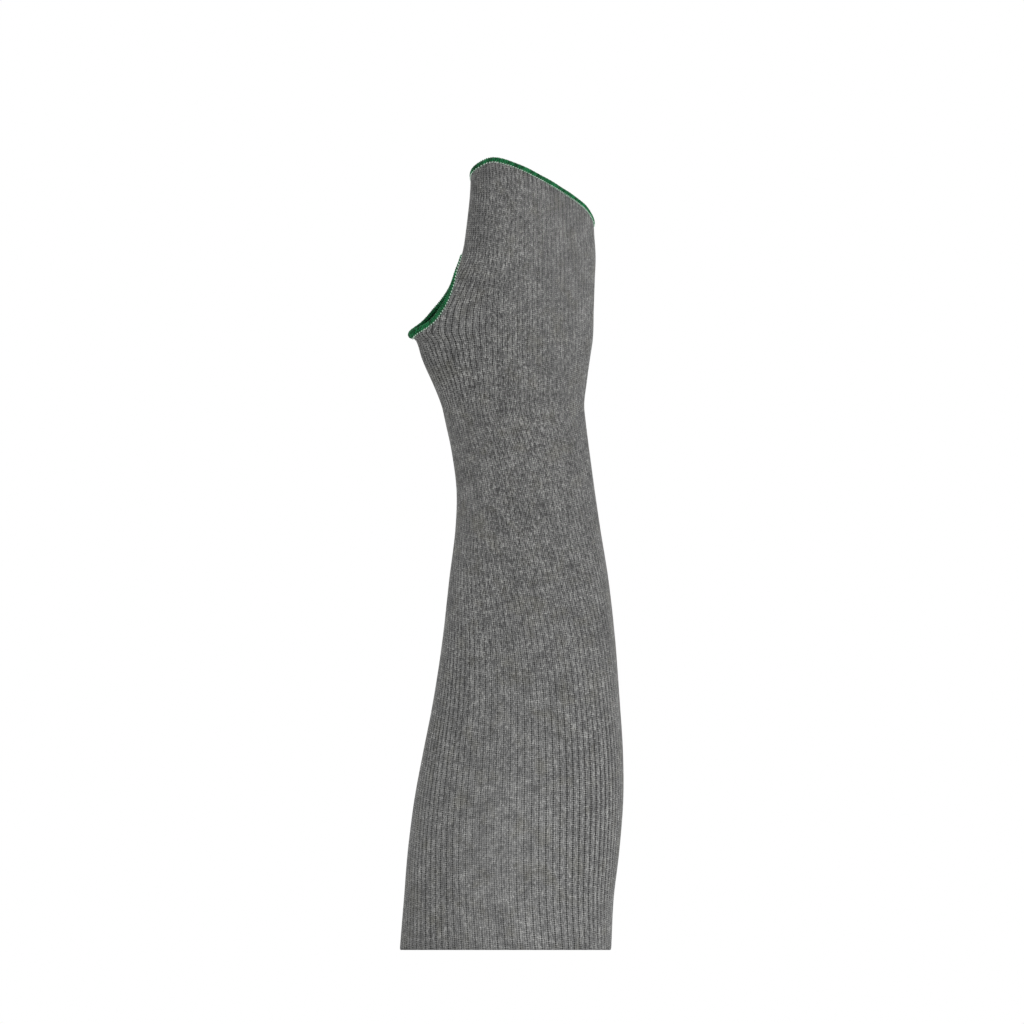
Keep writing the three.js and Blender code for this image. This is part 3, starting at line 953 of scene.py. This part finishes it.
looper_yarn = thread_material("green_looper_thread", "#073a1e", "#1f7a48", 5.0)
needle_yarn = thread_material("pale_green_needle_thread", "#8ab299", "#dbeae0", 3.0)

# %% [markdown]
# Under the wraps lies more of the same thread, which hardly any light reaches. So the core
# is a darker, duller green with no relief of its own.

# %% The thread in the shadow of the wraps
SHADOW_PATCHES = 600.0  # in a metre, about 1.7 mm each

core_yarn, tree, surface = new_material("green_thread_in_shadow")
place = add_node(tree, "TexCoord").outputs["Object"]
uneven = add_node(tree, "TexNoise", {"Vector": place, "Scale": SHADOW_PATCHES})
core_colour = add_node(tree, "Mix", {
    "Factor": uneven, 6: linear("#0a3a20"), 7: linear("#175434")}, data_type="RGBA").outputs[2]
tree.links.new(core_colour, surface.inputs["Base Color"])
surface.inputs["Roughness"].default_value = 0.9

for edging in edgings.values():
    edging["core"].data.materials.append(core_yarn)
    edging["looper"].data.materials.append(looper_yarn)
    for needle in edging["needles"]:
        needle.data.materials.append(needle_yarn)

print("edges that now have their threads:", list(edgings))

# %% [markdown]
# ## Floor, light and camera
#
# The sleeve stands before plain pale surroundings that show all round it. A big white
# backdrop would do that too, but it would cast its own shade, so the world itself is white.
# The floor is a plain disc in pale matte paint, which mirrors nothing and is seen edge on.

# %% Floor and surroundings
FLOOR_RADIUS = 1.6
FLOOR_GAP = 0.5 * MM  # the floor lies this far under the arm opening

floor_mesh = bpy.data.meshes.new("pale_floor")
bm = bmesh.new()
bmesh.ops.create_circle(bm, cap_ends=True, segments=96, radius=FLOOR_RADIUS)
bmesh.ops.translate(bm, verts=bm.verts, vec=Vector((0, 0, -FLOOR_GAP)))
bm.to_mesh(floor_mesh)
bm.free()
floor = bpy.data.objects.new("pale_floor", floor_mesh)
bpy.context.scene.collection.objects.link(floor)
floor_paint, tree, surface = new_material("pale_matte_floor")
surface.inputs["Base Color"].default_value = linear("#eeeeec")
surface.inputs["Roughness"].default_value = 0.9
floor_mesh.materials.append(floor_paint)

world = bpy.data.worlds.new("pale_studio")
bpy.context.scene.world = world
world.use_nodes = True
room = world.node_tree.nodes["Background"]
room.inputs["Color"].default_value = linear("#ffffff")
room.inputs["Strength"].default_value = 1.0
print("the floor is", 2 * FLOOR_RADIUS, "m across")

# %% [markdown]
# The light is soft and even, with a little more of it from the right, so the left side is
# slightly darker. One lamp would do for that, but the back of the tube would fall dark, so a
# second one stands behind, and a narrow one brightens the wide end as in the photo.

# %% Lamps
TUBE_MIDDLE = (0, 0, 0.18)
WIDE_END = (0.006, 0, 0.01)


def placed_lamp(name, kind, at, aim, **settings):
    """A lamp of one kind that stands at a place and faces a point."""
    light = bpy.data.lights.new(name, kind)
    for setting, value in settings.items():
        setattr(light, setting, value)
    lamp = bpy.data.objects.new(name, light)
    lamp.location = at
    lamp.rotation_euler = (Vector(aim) - lamp.location).to_track_quat("-Z", "Y").to_euler()
    bpy.context.scene.collection.objects.link(lamp)
    print(name, "gives", light.energy, "watts")


placed_lamp("key_lamp", "AREA", (1.1, -1.3, 0.9), TUBE_MIDDLE,
            shape="SQUARE", size=0.9, energy=7.0)
placed_lamp("back_lamp", "AREA", (0.4, 1.4, 1.0), TUBE_MIDDLE,
            shape="SQUARE", size=1.2, energy=4.0)
placed_lamp("low_lamp", "SPOT", (0.4, -0.88, 0.1), WIDE_END,
            energy=18.0, shadow_soft_size=0.08, spot_size=math.radians(15), spot_blend=1.0)

# %% [markdown]
# The sleeve is seen level and from far away, with no narrowing upwards. A long lens would
# come near to that, and an orthographic camera is exactly that, so it fits here.

# %% Camera
VIEW_WIDTH = 0.4597
VIEW_MIDDLE = (0.00294, 0.19663)  # right of the origin and up

camera = bpy.data.objects.new("level_camera", bpy.data.cameras.new("level_camera"))
camera.data.type = "ORTHO"
camera.data.ortho_scale = VIEW_WIDTH
camera.location = (VIEW_MIDDLE[0], -2.0, VIEW_MIDDLE[1])
camera.rotation_euler = (math.pi / 2, 0, 0)
bpy.context.scene.collection.objects.link(camera)
bpy.context.scene.camera = camera
bpy.context.scene.view_settings.view_transform = "Standard"
print("the view is", VIEW_WIDTH, "m wide")
